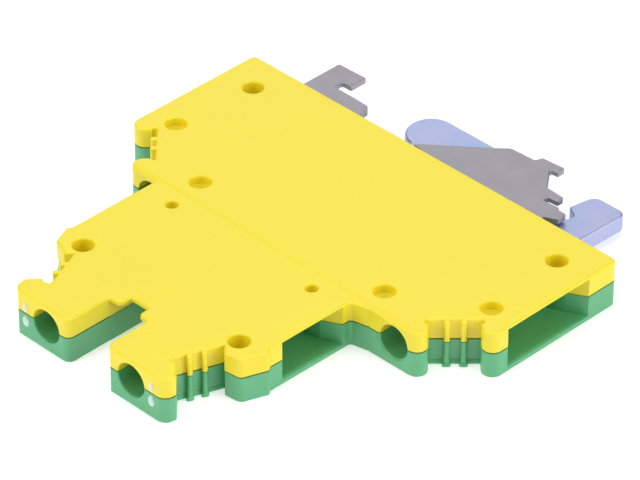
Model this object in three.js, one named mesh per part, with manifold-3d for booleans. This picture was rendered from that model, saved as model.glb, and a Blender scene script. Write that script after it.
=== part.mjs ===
// Double-deck protective-earth terminal block for a 35 mm mounting rail.
// Millimetres, +Z up. The block lies on its green side: X runs across the rail,
// +Y points to the rail, Z is the thickness that the block takes up along the rail.
// Outlines are given as [u, h, r]: u is measured from the left end of the lower deck,
// h from the rail-side face towards the screw heads, and r rounds that corner.

import * as THREE from 'three';
import { mergeVertices } from 'three/addons/utils/BufferGeometryUtils.js';
import Module from 'manifold-3d';

const wasm = await Module();
wasm.setup();

// ---------------------------------------------------------------- driving dimensions

const THICKNESS = 6.2;
const PARTING_Z = 3.4;
const PARTING_GAP = 0.04;
const DECK_LENGTH = 60;
const DECK_CENTRE = DECK_LENGTH / 2;
const UPPER_CENTRE = 27.25;
const UPPER_HALF_LENGTH = 16.45;
const SHOULDER_H = 26.9;
const TIP_H = 52.9;
const FOOT_REACH = 11.4;
const PIP_HEIGHT = 0.25;
const UPPER_STEP = 0.12;

const FLOOR_Z = 0.75;
const CEILING_Z = 5.7;
const SLOT_ROOT_H = 40.0;
const SLOT_CEILING_Z = 5.5;
const RUNNING_GAP = 0.3;

const SCREW_Z = 3.3;
const LOWER_SCREW_OFFSET = 20.05;
const UPPER_SCREW_OFFSET = 7.05;
const UPPER_LIFT = 21.4;
const CHANNEL_RADIUS = 2.1;
const CHAMBER_HALF = 3.5;

const YOKE = { half: 3.0, low: 7.6, high: 17.5, innerLow: 8.8, innerHigh: 15.3, z0: 1.2, z1: 5.4, wall: 0.6 };
const SCREW = {
  headRadius: 1.9, shaftRadius: 1.25, tip: 14.9, neck: 21.6, top: 23.6, slot: 0.6, slotDepth: 0.9,
};
const BAR = { low: 13.2, high: 14.6, tongueZ0: 2.05, tongueZ1: 4.55, webZ0: 0.95, webZ1: 1.85, end: 3.85 };
const WEB_DEPTH = 3.4;

const FOOT_SCREW_U = UPPER_CENTRE;
const FOOT_SCREW_Z = 3.65;
const FOOT_SCREW = {
  headRadius: 1.8, shaftRadius: 1.3, tip: -0.5, neck: 8.6, top: 10.6, slot: 0.6, slotDepth: 0.9,
};
const FOOT_NUT = { half: 2.5, low: 0.3, high: 2.4, z0: 1.1, z1: 5.3 };
const JAW_Z0 = 0.9;
const JAW_Z1 = 3.1;
const PLATE_Z0 = 3.45;
const PLATE_Z1 = 4.2;

const RIVET_U = 17.5;
const RIVET_H = 9.6;
const RIVET_RADIUS = 1.0;

const FRONT_Y = (TIP_H + PIP_HEIGHT - FOOT_REACH) / 2;
const ARC_STEPS = 2;
const ROUND_STEPS = 20;

// ---------------------------------------------------------------- materials

const MATERIALS = {
  yellow: new THREE.MeshStandardMaterial({ color: 0xf7e64a, roughness: 0.45, metalness: 0 }),
  green: new THREE.MeshStandardMaterial({ color: 0x4fb07a, roughness: 0.45, metalness: 0 }),
  nickel: new THREE.MeshStandardMaterial({ color: 0xa9a6ae, roughness: 0.38, metalness: 1 }),
  zinc: new THREE.MeshStandardMaterial({ color: 0xaeb9dd, roughness: 0.3, metalness: 1 }),
  steel: new THREE.MeshStandardMaterial({ color: 0xbcbcb6, roughness: 0.3, metalness: 1 }),
  brass: new THREE.MeshStandardMaterial({ color: 0xc9b27a, roughness: 0.35, metalness: 1 }),
};

// ---------------------------------------------------------------- geometry helpers

const toX = (u) => u - DECK_CENTRE;
const toY = (h) => FRONT_Y - h;
const mirror = (points, centre) => points.map(([u, h, r]) => [2 * centre - u, h, r]).reverse();
const lift = (points, amount) => points.map(([u, h, r]) => [u, h + amount, r]);

function roundedShape(points) {
  const corners = points.map(([u, h, r = 0]) => ({ at: new THREE.Vector2(toX(u), toY(h)), r }));
  const shape = new THREE.Shape();
  corners.forEach((corner, i) => {
    const before = corners[(i + corners.length - 1) % corners.length].at;
    const after = corners[(i + 1) % corners.length].at;
    const inward = before.clone().sub(corner.at).normalize();
    const outward = after.clone().sub(corner.at).normalize();
    const half = Math.acos(THREE.MathUtils.clamp(inward.dot(outward), -1, 1)) / 2;
    const reach = corner.r > 0 ? corner.r / Math.tan(half) : 0;
    const start = corner.at.clone().addScaledVector(inward, reach);
    if (i === 0) shape.moveTo(start.x, start.y);
    else shape.lineTo(start.x, start.y);
    if (reach === 0) return;
    const toCentre = inward.clone().add(outward).normalize();
    const centre = corner.at.clone().addScaledVector(toCentre, corner.r / Math.sin(half));
    const end = corner.at.clone().addScaledVector(outward, reach);
    const clockwise = inward.cross(outward) > 0;
    shape.absarc(
      centre.x,
      centre.y,
      corner.r,
      Math.atan2(start.y - centre.y, start.x - centre.x),
      Math.atan2(end.y - centre.y, end.x - centre.x),
      clockwise,
    );
  });
  shape.closePath();
  return shape;
}

function solidOf(geometry) {
  const bare = geometry.clone();
  bare.deleteAttribute('normal');
  bare.deleteAttribute('uv');
  const merged = mergeVertices(bare, 1e-5);
  return new wasm.Manifold(new wasm.Mesh({
    numProp: 3,
    vertProperties: new Float32Array(merged.attributes.position.array),
    triVerts: new Uint32Array(merged.index.array),
  }));
}

function prism(points, z0, z1) {
  const geometry = new THREE.ExtrudeGeometry(roundedShape(points), {
    depth: z1 - z0,
    bevelEnabled: false,
    curveSegments: ARC_STEPS,
  });
  return solidOf(geometry.translate(0, 0, z0));
}

function block(u0, u1, h0, h1, z0, z1) {
  const geometry = new THREE.BoxGeometry(u1 - u0, h1 - h0, z1 - z0);
  return solidOf(geometry.translate(toX((u0 + u1) / 2), toY((h0 + h1) / 2), (z0 + z1) / 2));
}

function rodAlongH(radius, u, z, h0, h1) {
  const geometry = new THREE.CylinderGeometry(radius, radius, h1 - h0, ROUND_STEPS);
  return solidOf(geometry.translate(toX(u), toY((h0 + h1) / 2), z));
}

function rodAlongZ(radius, u, h, z0, z1) {
  const geometry = new THREE.CylinderGeometry(radius, radius, z1 - z0, ROUND_STEPS);
  geometry.rotateX(Math.PI / 2);
  return solidOf(geometry.translate(toX(u), toY(h), (z0 + z1) / 2));
}

const joined = (pieces) => pieces.reduce((total, piece) => total.add(piece));
const cutFrom = (body, cutters) => cutters.reduce((rest, cutter) => rest.subtract(cutter), body);

function geometryOf(solid) {
  const mesh = solid.getMesh();
  const geometry = new THREE.BufferGeometry();
  geometry.setAttribute('position', new THREE.BufferAttribute(new Float32Array(mesh.vertProperties), 3));
  geometry.setIndex(new THREE.BufferAttribute(new Uint32Array(mesh.triVerts), 1));
  geometry.computeVertexNormals();
  return geometry;
}

const terminal = new THREE.Group();

function place(name, solid, material) {
  const mesh = new THREE.Mesh(geometryOf(solid), material);
  mesh.name = name;
  terminal.add(mesh);
}

// ---------------------------------------------------------------- housing outline

// A wall from start to end with ribs that stand out of it at 45 degrees.
function ribbedWall(start, end, ribPlaces, ribHeight) {
  const length = Math.hypot(end[0] - start[0], end[1] - start[1]);
  const along = [(end[0] - start[0]) / length, (end[1] - start[1]) / length];
  const out = ribHeight * Math.SQRT1_2;
  const halfWidth = 0.33;
  const at = (s) => [start[0] + along[0] * s, start[1] + along[1] * s];
  const points = [start];
  for (const place of ribPlaces) {
    const near = at(place - halfWidth);
    const far = at(place + halfWidth);
    points.push([...near, 0], [near[0] + out, near[1] + out, 0.25]);
    points.push([far[0] + out, far[1] + out, 0.25], [...far, 0]);
  }
  points.push(end);
  return points;
}

// The marker recess between the wire end and the shoulder of the lower deck.
const LOWER_SIDE = [
  [DECK_LENGTH, 0, 0.8],
  [DECK_LENGTH, 22.74, 1.3],
  [57.12, 19.86, 0],
  [57.33, 19.65, 0],
  ...ribbedWall([56.94, 19.26, 0], [52.3, 23.9, 0], [2.35, 4.3], 0.7),
  [52.69, 24.29, 0],
  [52.9, 24.08, 0],
  [55.72, SHOULDER_H, 1.3],
];

// The end of the upper deck, its marker recess and the outer corner of its arm.
const UPPER_END_U = UPPER_CENTRE + UPPER_HALF_LENGTH;
const UPPER_SIDE = [
  [UPPER_END_U, 40.1, 0],
  [UPPER_END_U + 0.4, 40.7, 0.3],
  [42.85, 44.05, 0.9],
  [40.6, 44.3, 0.2],
  ...ribbedWall([39.5, 43.2, 0], [37.25, 49.05, 0], [2.4, 4.2], 0.8),
  [37.45, 49.6, 0],
  [37.95, 49.15, 0],
  [40.0, 51.2, 0.2],
  [39.85, TIP_H, 1.3],
];

// The same side of the left arm, written mirrored: its corners sit a little further out.
const LEFT_ARM_SIDE = [
  [UPPER_END_U, 40.1, 0],
  [UPPER_END_U + 0.4, 40.7, 0.3],
  [43.0, 43.3, 0.5],
  [40.6, 44.25, 0.2],
  ...ribbedWall([39.75, 43.45, 0], [37.5, 48.85, 0], [2.2, 3.95], 0.8),
  [37.55, 49.4, 0],
  [38.3, 49.55, 0],
  [38.7, 49.3, 0],
  [40.1, 50.75, 0.6],
  [39.88, 52.1, 0.5],
  [38.9, TIP_H, 0.2],
];

// Half of the notch at the foot of the slot between the two arms.
const GAP_CENTRE = 27.1;
const ARM_INNER_U = 30.2;
const NOTCH_SIDE = [
  [ARM_INNER_U, 46.4, 0.15],
  [28.55, 46.2, 0.7],
  [28.55, 44.55, 0.1],
];

const OUTLINE = [
  ...LOWER_SIDE,
  [46.2, 26.95, 0],
  [UPPER_END_U + 0.15, 27.5, 0.3],
  ...UPPER_SIDE,
  [31.0, TIP_H, 0.35],
  [ARM_INNER_U, 52.0, 0.35],
  ...NOTCH_SIDE,
  ...mirror(NOTCH_SIDE, GAP_CENTRE),
  [2 * GAP_CENTRE - ARM_INNER_U, TIP_H, 0.95],
  ...mirror(LEFT_ARM_SIDE, UPPER_CENTRE),
  [UPPER_CENTRE - UPPER_HALF_LENGTH, SHOULDER_H, 0],
  ...mirror(LOWER_SIDE, DECK_CENTRE),
];

// ---------------------------------------------------------------- hollows in the housing

// One clamping chamber with its wire funnel, open at the right end of the lower deck.
const LOWER_SCREW_U = DECK_CENTRE + LOWER_SCREW_OFFSET;
const LOWER_HOLLOW = [
  [DECK_LENGTH + 1, 4.3, 0],
  [DECK_LENGTH, 4.85, 0],
  [57.6, 6.2, 0],
  [55.4, 7.2, 0],
  [LOWER_SCREW_U - CHAMBER_HALF, 7.2, 0],
  [LOWER_SCREW_U - CHAMBER_HALF, 21.3, 0],
  [LOWER_SCREW_U + CHAMBER_HALF, 21.3, 0],
  [LOWER_SCREW_U + CHAMBER_HALF, 14.9, 0],
  [55.4, 14.9, 0],
  [57.3, 15.6, 0],
  [58.9, 17.5, 0],
  [DECK_LENGTH, 18.3, 0],
  [DECK_LENGTH + 1, 18.3, 0],
];

const UPPER_SCREW_U = UPPER_CENTRE + UPPER_SCREW_OFFSET;
const UPPER_HOLLOW = [
  [UPPER_END_U + 0.8, 28.35, 0],
  [UPPER_END_U, 28.75, 0],
  [41.4, 29.95, 0],
  [39.1, 30.4, 0],
  [UPPER_SCREW_U + CHAMBER_HALF, 30.4, 0],
  [UPPER_SCREW_U + CHAMBER_HALF, 28.6, 0],
  [UPPER_SCREW_U - CHAMBER_HALF, 28.6, 0],
  [UPPER_SCREW_U - CHAMBER_HALF, 42.7, 0],
  [UPPER_SCREW_U + CHAMBER_HALF, 42.7, 0],
  [UPPER_SCREW_U + CHAMBER_HALF, 36.2, 0],
  [39.6, 36.3, 0],
  [41.3, 36.9, 0],
  [43.0, 37.9, 0],
  [UPPER_END_U, 38.15, 0],
  [UPPER_END_U + 0.8, 38.15, 0],
];

const SCREW_STATIONS = [
  { name: 'lower_left', u: DECK_CENTRE - LOWER_SCREW_OFFSET, lift: 0, mouth: 45.5 },
  { name: 'lower_right', u: LOWER_SCREW_U, lift: 0, mouth: SHOULDER_H + 1 },
  { name: 'upper_left', u: UPPER_CENTRE - UPPER_SCREW_OFFSET, lift: UPPER_LIFT, mouth: TIP_H + 1 },
  { name: 'upper_right', u: UPPER_SCREW_U, lift: UPPER_LIFT, mouth: TIP_H + 1 },
];

function clampingHollows() {
  const hollows = [
    prism(LOWER_HOLLOW, FLOOR_Z, CEILING_Z),
    prism(mirror(LOWER_HOLLOW, DECK_CENTRE), FLOOR_Z, CEILING_Z),
    prism(UPPER_HOLLOW, FLOOR_Z, CEILING_Z),
    prism(mirror(UPPER_HOLLOW, UPPER_CENTRE), FLOOR_Z, CEILING_Z),
  ];
  for (const station of SCREW_STATIONS) {
    hollows.push(rodAlongH(CHANNEL_RADIUS, station.u, SCREW_Z, 21 + station.lift, station.mouth));
  }
  return hollows;
}

// Room for the current bars, the link strap and the roots of the bars' tongues.
function conductorHollows() {
  const low = FLOOR_Z;
  const high = BAR.webZ1 + 0.1;
  const rootHigh = BAR.tongueZ1 + 0.1;
  const side = LOWER_SCREW_U - CHAMBER_HALF;
  const upperSide = UPPER_SCREW_U - CHAMBER_HALF;
  const hollows = [
    block(2 * DECK_CENTRE - side - 0.1, side + 0.1, 7.6, BAR.high + 0.15, low, high),
    block(LINK.left - 0.15, LINK.right + 0.15, BAR.high, BAR.low + UPPER_LIFT, low, high),
    block(
      2 * UPPER_CENTRE - upperSide - 0.1, upperSide + 0.1,
      UPPER_WEB_LOW - 0.15, UPPER_BAR_HIGH + 0.15, low, high,
    ),
  ];
  for (const [centre, edge, amount] of [[DECK_CENTRE, side, 0], [UPPER_CENTRE, upperSide, UPPER_LIFT]]) {
    for (const way of [-1, 1]) {
      const inner = centre + way * (edge - centre - ROOT_LENGTH - 0.15);
      const outer = centre + way * (edge - centre + 0.1);
      const [u0, u1] = [Math.min(inner, outer), Math.max(inner, outer)];
      hollows.push(block(u0, u1, BAR.low - 0.15 + amount, BAR.high + 0.15 + amount, low, rootHigh));
    }
  }
  return hollows;
}

// Room for the foot: the jaw's tongue, the nut, the foot screw and the two sheet plates.
function footHollows() {
  const hollows = [
    block(23.2, 34.6, -1, 6.5, 0.65, PARTING_Z),
    block(FOOT_SCREW_U - 2.8, FOOT_SCREW_U + 2.8, -1, 4.0, 0.65, 5.6),
    rodAlongH(2.0, FOOT_SCREW_U, FOOT_SCREW_Z, 3, 11),
    rodAlongH(1.75, FOOT_SCREW_U, FOOT_SCREW_Z, 10, 46),
    prism(HOOK_POCKET, PARTING_Z - 0.1, PLATE_Z1 + 0.1),
    prism(TOOTHED_POCKET, PARTING_Z - 0.1, PLATE_Z1 + 0.1),
  ];
  for (const u of [RIVET_U, DECK_LENGTH - RIVET_U]) {
    hollows.push(rodAlongZ(2.0, u, RIVET_H, FLOOR_Z, 5.1));
  }
  return hollows;
}

// Under the notched plate of the yellow half the slot keeps its full width down to its root, and it
// stays open at the green side.
function slotHollow() {
  return block(2 * GAP_CENTRE - ARM_INNER_U, ARM_INNER_U, SLOT_ROOT_H, 46.6, -1, SLOT_CEILING_Z);
}

// ---------------------------------------------------------------- conductors

const LINK = { left: UPPER_CENTRE - 2.35, right: UPPER_CENTRE + 2.35 };
const ROOT_LENGTH = 1.4;
const UPPER_BAR_HIGH = BAR.high + UPPER_LIFT;
const UPPER_WEB_LOW = UPPER_BAR_HIGH - WEB_DEPTH;

function currentBar(centre, screwOffset, amount, ears) {
  const pieces = [];
  const edge = screwOffset - CHAMBER_HALF;
  const high = BAR.high + amount;
  const webReach = edge - 0.1;
  pieces.push(block(centre - webReach, centre + webReach, high - WEB_DEPTH, high, BAR.webZ0, BAR.webZ1));
  for (const way of [-1, 1]) {
    const root = [centre + way * (edge - ROOT_LENGTH), centre + way * (edge + 0.2)];
    const tongue = [centre + way * edge, centre + way * (screwOffset + BAR.end)];
    const low = BAR.low + amount;
    pieces.push(block(Math.min(...root), Math.max(...root), low, high, BAR.webZ0, BAR.tongueZ1));
    pieces.push(block(Math.min(...tongue), Math.max(...tongue), low, high, BAR.tongueZ0, BAR.tongueZ1));
  }
  for (const u of ears) {
    pieces.push(block(u - 2, u + 2, RIVET_H - 1.8, high - WEB_DEPTH + 0.2, BAR.webZ0, BAR.webZ1));
  }
  const holes = ears.map((u) => rodAlongZ(RIVET_RADIUS + 0.05, u, RIVET_H, 0, 3));
  return cutFrom(joined(pieces), holes);
}

// The strap's forked ends lock into notches in both webs.
function linkTab(way, amount) {
  const inner = amount - way * 0.9;
  const [low, high] = [Math.min(amount, inner), Math.max(amount, inner)];
  return block(UPPER_CENTRE - 1.0, UPPER_CENTRE + 1.0, low, high, 0.9, 1.9);
}

function linkStrap() {
  const low = BAR.high + 0.05;
  const high = UPPER_WEB_LOW - 0.05;
  const strap = block(LINK.left, LINK.right, low, high, BAR.webZ0, BAR.webZ1);
  const tabs = [
    block(UPPER_CENTRE - 0.95, UPPER_CENTRE + 0.95, low - 0.85, low + 0.1, BAR.webZ0, BAR.webZ1),
    block(UPPER_CENTRE - 0.95, UPPER_CENTRE + 0.95, high - 0.1, high + 0.85, BAR.webZ0, BAR.webZ1),
  ];
  return joined([strap, ...tabs]);
}

// ---------------------------------------------------------------- clamping yokes and screws

function yoke(station) {
  const { u, lift: amount } = station;
  const body = block(u - YOKE.half, u + YOKE.half, YOKE.low + amount, YOKE.high + amount, YOKE.z0, YOKE.z1);
  const window = block(
    u - YOKE.half - 1,
    u + YOKE.half + 1,
    YOKE.innerLow + amount,
    YOKE.innerHigh + amount,
    YOKE.z0 + YOKE.wall,
    YOKE.z1 - YOKE.wall,
  );
  const [low, high] = [YOKE.innerHigh + amount - 1, YOKE.high + amount + 1];
  const thread = rodAlongH(SCREW.shaftRadius + 0.25, u, SCREW_Z, low, high);
  return cutFrom(body, [window, thread]);
}

function slottedScrew(size, u, z, amount) {
  const shaft = rodAlongH(size.shaftRadius, u, z, size.tip + amount, size.neck + amount + 0.1);
  const head = rodAlongH(size.headRadius, u, z, size.neck + amount, size.top + amount);
  const slotLow = size.top + amount - size.slotDepth;
  const slot = block(u - 3, u + 3, slotLow, size.top + amount + 1, z - size.slot / 2, z + size.slot / 2);
  return cutFrom(joined([shaft, head]), [slot]);
}

// ---------------------------------------------------------------- rail foot

// Fixed hook: its notch takes the rail's left edge.
const HOOK_PLATE = [
  [6.6, -8.15, 0.2],
  [11.2, -8.3, 0.2],
  [11.2, -5.6, 0.1],
  [9.75, -5.6, 0.15],
  [9.75, -4.25, 0.15],
  [15.5, -4.1, 0.2],
  [16.3, -3.3, 0.2],
  [16.3, 2.0, 0],
  [19.8, 2.0, 0.5],
  [19.8, 11.6, 0.5],
  [14.6, 11.6, 0.5],
  [14.6, 5.4, 0.3],
  [6.6, 4.4, 0.5],
];
const HOOK_POCKET = [
  [6.45, -1, 0],
  [16.45, -1, 0],
  [16.45, 1.85, 0],
  [19.95, 1.85, 0],
  [19.95, 11.75, 0],
  [14.45, 11.75, 0],
  [14.45, 5.55, 0],
  [6.45, 4.55, 0],
];

// Fixed toothed plate: three teeth, with notches between them, and a slanted left edge.
const TOOTHED_PLATE = [
  [24.9, -2.15, 0.2],
  [32.6, -8.6, 0.3],
  [34.0, -9.9, 0.3],
  [37.7, -10.1, 0.3],
  [38.0, -11.1, 0.2],
  [41.4, -FOOT_REACH, 0.2],
  [41.4, -10.1, 0.15],
  [40.2, -10.0, 0.2],
  [42.6, -6.95, 0.2],
  [45.4, -6.8, 0.2],
  [45.4, -5.7, 0.15],
  [44.0, -5.6, 0.15],
  [44.0, -4.75, 0.15],
  [46.3, -4.9, 0.1],
  [46.5, -4.6, 0.1],
  [47.9, -4.5, 0.25],
  [47.9, -3.1, 0.25],
  [46.1, -2.2, 0.3],
  [45.7, 11.6, 0.5],
  [40.2, 11.6, 0.5],
  [40.2, 4.8, 0.4],
  [30.6, 4.2, 0.5],
  [30.6, -1.3, 0.3],
];
const TOOTHED_POCKET = [
  [30.45, -1, 0],
  [46.3, -1, 0],
  [45.85, 11.75, 0],
  [40.05, 11.75, 0],
  [40.05, 4.95, 0],
  [30.45, 4.35, 0],
];

// Moving jaw: a round-ended arm, a tongue that goes up into the housing, and a hook on the right.
const JAW = [
  [23.6, 5.0, 0.5],
  [34.2, 5.0, 0.5],
  [34.2, -2.0, 0.3],
  [51.5, -2.0, 0.8],
  [51.75, -10.85, 1.0],
  [46.75, -10.85, 1.4],
  [46.05, -7.1, 0.2],
  [47.7, -6.1, 0.2],
  [47.5, -4.9, 0.3],
  [45.9, -3.8, 0.3],
  [39.4, -3.7, 0.5],
  [39.4, -9.75, 0.8],
  [20.8, -9.75, 3.1],
  [20.8, -3.45, 3.1],
  [23.6, -3.4, 0.2],
];

function clampingJaw() {
  const body = prism(JAW, JAW_Z0, JAW_Z1);
  const nutWindow = block(
    FOOT_SCREW_U - FOOT_NUT.half - RUNNING_GAP,
    FOOT_SCREW_U + FOOT_NUT.half + RUNNING_GAP,
    FOOT_NUT.low - 0.15,
    FOOT_NUT.high + 0.15,
    0,
    5,
  );
  const groove = block(
    FOOT_SCREW_U - FOOT_SCREW.shaftRadius - RUNNING_GAP,
    FOOT_SCREW_U + FOOT_SCREW.shaftRadius + RUNNING_GAP,
    -3,
    6,
    FOOT_SCREW_Z - FOOT_SCREW.shaftRadius - RUNNING_GAP,
    5,
  );
  return cutFrom(body, [nutWindow, groove]);
}

function footNut() {
  const { half, low, high, z0, z1 } = FOOT_NUT;
  const body = block(FOOT_SCREW_U - half, FOOT_SCREW_U + half, low, high, z0, z1);
  const thread = rodAlongH(FOOT_SCREW.shaftRadius + 0.25, FOOT_SCREW_U, FOOT_SCREW_Z, low - 1, high + 1);
  return cutFrom(body, [thread]);
}

function rivetedPlate(points, u) {
  return cutFrom(prism(points, PLATE_Z0, PLATE_Z1), [rodAlongZ(RIVET_RADIUS + 0.05, u, RIVET_H, 2, 6)]);
}

function earthRivet(u) {
  const shank = rodAlongZ(RIVET_RADIUS, u, RIVET_H, BAR.webZ0, PLATE_Z1 + 0.15);
  const head = rodAlongZ(1.75, u, RIVET_H, PLATE_Z1 + 0.05, PLATE_Z1 + 0.7);
  return joined([shank, head]);
}

function rivetBush(u) {
  const body = rodAlongZ(1.75, u, RIVET_H, BAR.webZ1 + 0.05, PLATE_Z0 - 0.05);
  return cutFrom(body, [rodAlongZ(RIVET_RADIUS + 0.05, u, RIVET_H, 0, 6)]);
}

// ---------------------------------------------------------------- housing halves

// Round sockets in the flat yellow side: deep ones near the corners, shallower ones over the pins.
const SOCKETS = [
  { centre: DECK_CENTRE, du: 25.05, h: 5.05, r: 1.3, depth: 2.2 },
  { centre: DECK_CENTRE, du: 26.0, h: 17.05, r: 1.3, depth: 1.2 },
  { centre: DECK_CENTRE, du: 15.2, h: 23.35, r: 1.3, depth: 1.2 },
  { centre: UPPER_CENTRE, du: 12.95, h: 41.6, r: 1.3, depth: 2.2 },
  { centre: UPPER_CENTRE, du: 11.6, h: 28.75, r: 0.78, depth: 1.3 },
];
const PINS = [
  { centre: DECK_CENTRE, du: 15.2, h: 23.35 },
  { centre: DECK_CENTRE, du: 9.5, h: 19.0 },
];
const PIN_RADIUS = 1.0;
const PIN_HEIGHT = 1.1;

// Small round pips beside the driver holes on the arm tips.
function pips(z) {
  return [-1, 1].map((way) => {
    const geometry = new THREE.SphereGeometry(0.6, 12, 8);
    geometry.translate(toX(UPPER_CENTRE + way * (UPPER_SCREW_OFFSET + 3.4)), toY(TIP_H + PIP_HEIGHT - 0.6), z);
    return solidOf(geometry);
  });
}

function twoSided(list, make) {
  return list.flatMap((item) => [-1, 1].map((way) => make(item, item.centre + way * item.du)));
}

function greenHalf() {
  const body = prism(OUTLINE, 0, PARTING_Z - PARTING_GAP / 2);
  const hollows = [...clampingHollows(), ...conductorHollows(), ...footHollows(), slotHollow()];
  const pinTop = PARTING_Z + PIN_HEIGHT;
  const pins = twoSided(PINS, (pin, u) => rodAlongZ(PIN_RADIUS, u, pin.h, PARTING_Z - 0.5, pinTop));
  return joined([cutFrom(body, hollows), ...pins, ...pips(2.3)]);
}

function yellowHalf() {
  const body = prism(OUTLINE, PARTING_Z + PARTING_GAP / 2, THICKNESS);
  const sockets = twoSided(SOCKETS, (s, u) => rodAlongZ(s.r, u, s.h, THICKNESS - s.depth, THICKNESS + 1));
  const holeTop = PARTING_Z + PIN_HEIGHT + 0.2;
  const pinHoles = twoSided(PINS, (pin, u) => rodAlongZ(PIN_RADIUS + 0.1, u, pin.h, 3, holeTop));
  const step = block(-5, 65, SHOULDER_H - 0.35, 60, THICKNESS - UPPER_STEP, THICKNESS + 1);
  const hollows = [...clampingHollows(), ...conductorHollows(), ...footHollows(), slotHollow()];
  return joined([cutFrom(body, [...hollows, ...sockets, ...pinHoles, step]), ...pips(4.5)]);
}

// ---------------------------------------------------------------- assembly

place('housing_yellow_half', yellowHalf(), MATERIALS.yellow);
place('housing_green_half', greenHalf(), MATERIALS.green);

const earsAt = [RIVET_U, DECK_LENGTH - RIVET_U];
const lowerBar = currentBar(DECK_CENTRE, LOWER_SCREW_OFFSET, 0, earsAt);
const upperBar = currentBar(UPPER_CENTRE, UPPER_SCREW_OFFSET, UPPER_LIFT, []);
place('lower_current_bar', cutFrom(lowerBar, [linkTab(1, BAR.high + 0.01)]), MATERIALS.brass);
place('upper_current_bar', cutFrom(upperBar, [linkTab(-1, UPPER_WEB_LOW - 0.01)]), MATERIALS.brass);
place('earth_link_strap', linkStrap(), MATERIALS.brass);

for (const station of SCREW_STATIONS) {
  place(`clamp_yoke_${station.name}`, yoke(station), MATERIALS.steel);
  place(`clamp_screw_${station.name}`, slottedScrew(SCREW, station.u, SCREW_Z, station.lift), MATERIALS.steel);
}

place('rail_hook_plate', rivetedPlate(HOOK_PLATE, RIVET_U), MATERIALS.nickel);
place('rail_toothed_plate', rivetedPlate(TOOTHED_PLATE, DECK_LENGTH - RIVET_U), MATERIALS.nickel);
place('rail_clamping_jaw', clampingJaw(), MATERIALS.zinc);
place('foot_screw', slottedScrew(FOOT_SCREW, FOOT_SCREW_U, FOOT_SCREW_Z, 0), MATERIALS.steel);
place('foot_nut', footNut(), MATERIALS.steel);
for (const [side, u] of [['left', RIVET_U], ['right', DECK_LENGTH - RIVET_U]]) {
  place(`earth_rivet_${side}`, earthRivet(u), MATERIALS.steel);
  place(`rivet_bush_${side}`, rivetBush(u), MATERIALS.brass);
}

export default terminal;
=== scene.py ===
"""Double-deck protective-earth terminal block: looks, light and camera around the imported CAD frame."""

import math

import bmesh
import bpy
from mathutils import Matrix, Vector


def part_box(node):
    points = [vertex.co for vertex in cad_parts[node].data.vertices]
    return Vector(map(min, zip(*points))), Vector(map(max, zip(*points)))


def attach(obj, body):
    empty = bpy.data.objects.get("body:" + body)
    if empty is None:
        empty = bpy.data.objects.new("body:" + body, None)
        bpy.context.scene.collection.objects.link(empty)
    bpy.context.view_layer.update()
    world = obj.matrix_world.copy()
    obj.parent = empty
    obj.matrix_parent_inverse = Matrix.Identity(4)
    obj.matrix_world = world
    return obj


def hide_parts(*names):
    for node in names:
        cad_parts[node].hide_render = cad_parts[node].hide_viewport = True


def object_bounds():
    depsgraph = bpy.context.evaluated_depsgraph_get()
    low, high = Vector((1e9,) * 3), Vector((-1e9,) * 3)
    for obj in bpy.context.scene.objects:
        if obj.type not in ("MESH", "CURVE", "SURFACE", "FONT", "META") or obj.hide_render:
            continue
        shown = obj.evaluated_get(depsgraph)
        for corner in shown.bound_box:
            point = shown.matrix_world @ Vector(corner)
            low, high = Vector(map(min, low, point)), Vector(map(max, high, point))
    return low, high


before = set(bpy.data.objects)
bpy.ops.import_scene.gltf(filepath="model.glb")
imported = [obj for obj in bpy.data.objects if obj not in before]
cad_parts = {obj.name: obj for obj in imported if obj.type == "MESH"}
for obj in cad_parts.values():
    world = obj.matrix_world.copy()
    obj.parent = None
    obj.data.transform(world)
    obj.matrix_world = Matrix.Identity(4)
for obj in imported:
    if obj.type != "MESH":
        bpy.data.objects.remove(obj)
cad_low, cad_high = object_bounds()

# ------------------------------------------------------------------ sizes, in millimetres
# Outlines are [u, h, r]: u from the left end of the lower deck, h from the rail-side face
# towards the screw heads, r the corner's radius. x = u - DECK and y = FRONT_Y - h.

MM = 0.001
THICKNESS = 6.2
PARTING_Z = 3.4
SEAM = 0.02  # each half's clearance from the parting plane
LENGTH = 60.0
DECK = LENGTH / 2  # the lower deck's centre line
UPPER = 27.25  # the upper deck's centre line
UPPER_HALF = 16.45  # half the upper deck's length
UPPER_END = UPPER + UPPER_HALF
SHOULDER = 26.9  # the lower deck's height
TIP = 52.9  # the arms' height
FLOOR = 0.75  # of the hollows
CEILING = 5.7
SCREW_Z = 3.3
LOWER_SCREW = 20.05  # the clamp screws' distances from their deck's centre line
UPPER_SCREW = 7.05
LIFT = 21.4  # from the lower deck's clamps to the upper deck's
CHANNEL_R = 2.1  # of the driver holes
CHAMBER = 3.5  # half the width of a clamp's chamber
FOOT_Z = 3.65  # of the foot screw
JAW_Z0, JAW_Z1 = 0.9, 3.1
PLATE_Z0, PLATE_Z1 = 3.45, 4.2
RIVET_U, RIVET_H = 17.5, 9.6
UPPER_STEP = 0.12  # how far the upper deck's outer face lies below the lower deck's
FRONT_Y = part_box("housing_green_half")[1].y * 1000

LOWER_U = DECK + LOWER_SCREW
UPPER_U = UPPER + UPPER_SCREW


# ------------------------------------------------------------------ mesh tools


def to_xy(points):
    """[u, h, r] corners as (x, y, r), counter-clockwise."""
    corners = [(u - DECK, FRONT_Y - h, rest[0] if rest else 0.0) for u, h, *rest in points]
    area = 0.0
    for (x0, y0, _), (x1, y1, _) in zip(corners, corners[1:] + corners[:1]):
        area += x0 * y1 - x1 * y0
    return corners if area > 0 else corners[::-1]


def mirror(points, centre):
    """The outline on the other side of a centre line, in the same turning sense."""
    return [[2 * centre - p[0], *p[1:]] for p in points][::-1]


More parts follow.
